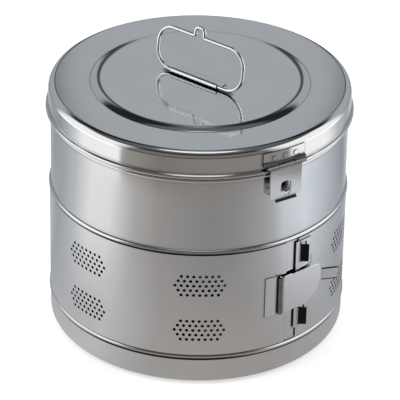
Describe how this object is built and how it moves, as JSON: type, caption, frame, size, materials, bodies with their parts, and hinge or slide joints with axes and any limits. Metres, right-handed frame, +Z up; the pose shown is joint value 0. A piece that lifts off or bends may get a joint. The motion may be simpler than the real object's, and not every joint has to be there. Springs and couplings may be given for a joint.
{
  "type": "sterilization drum",
  "caption": "Round stainless drum for sterilizing dressings, with a hinged lid and hasp, a wire handle, and a perforated vent band that slides round the wall and clasps shut.",
  "frame": {"origin": "centre of the flat base, on the surface it stands on", "axes": "+Z up along the drum's axis, the hasp faces -Y, the lid hinge is at +Y, +X to the right seen from the hasp side"},
  "size_m": [0.2772, 0.2867, 0.2909],
  "materials": {
    "sheet_steel": "polished",
    "fitting_steel": "polished",
    "turned_steel": "polished",
    "wire_steel": "polished"
  },
  "bodies": {
    "drum": {"drum_shell": "sheet_steel", "base_pan": "sheet_steel", "hasp_stud": "turned_steel", "hasp_stud_washer": "fitting_steel", "hinge_drum_leaf": "fitting_steel", "hinge_drum_rivets": "turned_steel", "hinge_pin": "turned_steel"},
    "lid": {"lid_pan": "sheet_steel", "hinge_lid_leaf": "fitting_steel", "hinge_lid_rivets": "turned_steel", "handle_saddle": "fitting_steel", "hasp_plate": "fitting_steel", "hasp_rivets": "turned_steel", "hasp_pin": "turned_steel"},
    "handle": {"handle_loop": "wire_steel"},
    "hasp": {"hasp_leaf": "fitting_steel"},
    "band": {"vent_band": "sheet_steel", "clasp_fixed_leaf": "fitting_steel", "clasp_pin": "turned_steel", "clasp_bracket": "fitting_steel"},
    "clasp": {"clasp_leaf": "fitting_steel"}
  },
  "joints": [
    {"name": "lid_hinge", "type": "hinge", "parent": "drum", "child": "lid", "pos_m": [0, 0.1414, 0.2133], "axis": [-1, 0, 0], "range_deg": [0, 110]},
    {"name": "handle_fold", "type": "hinge", "parent": "lid", "child": "handle", "pos_m": [-0.00639, -0.00601, 0.2416], "axis": [0.3256, -0.9455, 0], "range_deg": [-80, 96]},
    {"name": "hasp_swing", "type": "hinge", "parent": "lid", "child": "hasp", "pos_m": [0, -0.1395, 0.2175], "axis": [-1, 0, 0], "range_deg": [0, 170]},
    {"name": "vent_turn", "type": "hinge", "parent": "drum", "child": "band", "pos_m": [0, 0, 0.0826], "axis": [0, 0, 1], "range_deg": [0, 24]},
    {"name": "clasp_swing", "type": "hinge", "parent": "band", "child": "clasp", "pos_m": [0, -0.1378, 0.083], "axis": [0, 0, -1], "range_deg": [0, 140]}
  ]
}
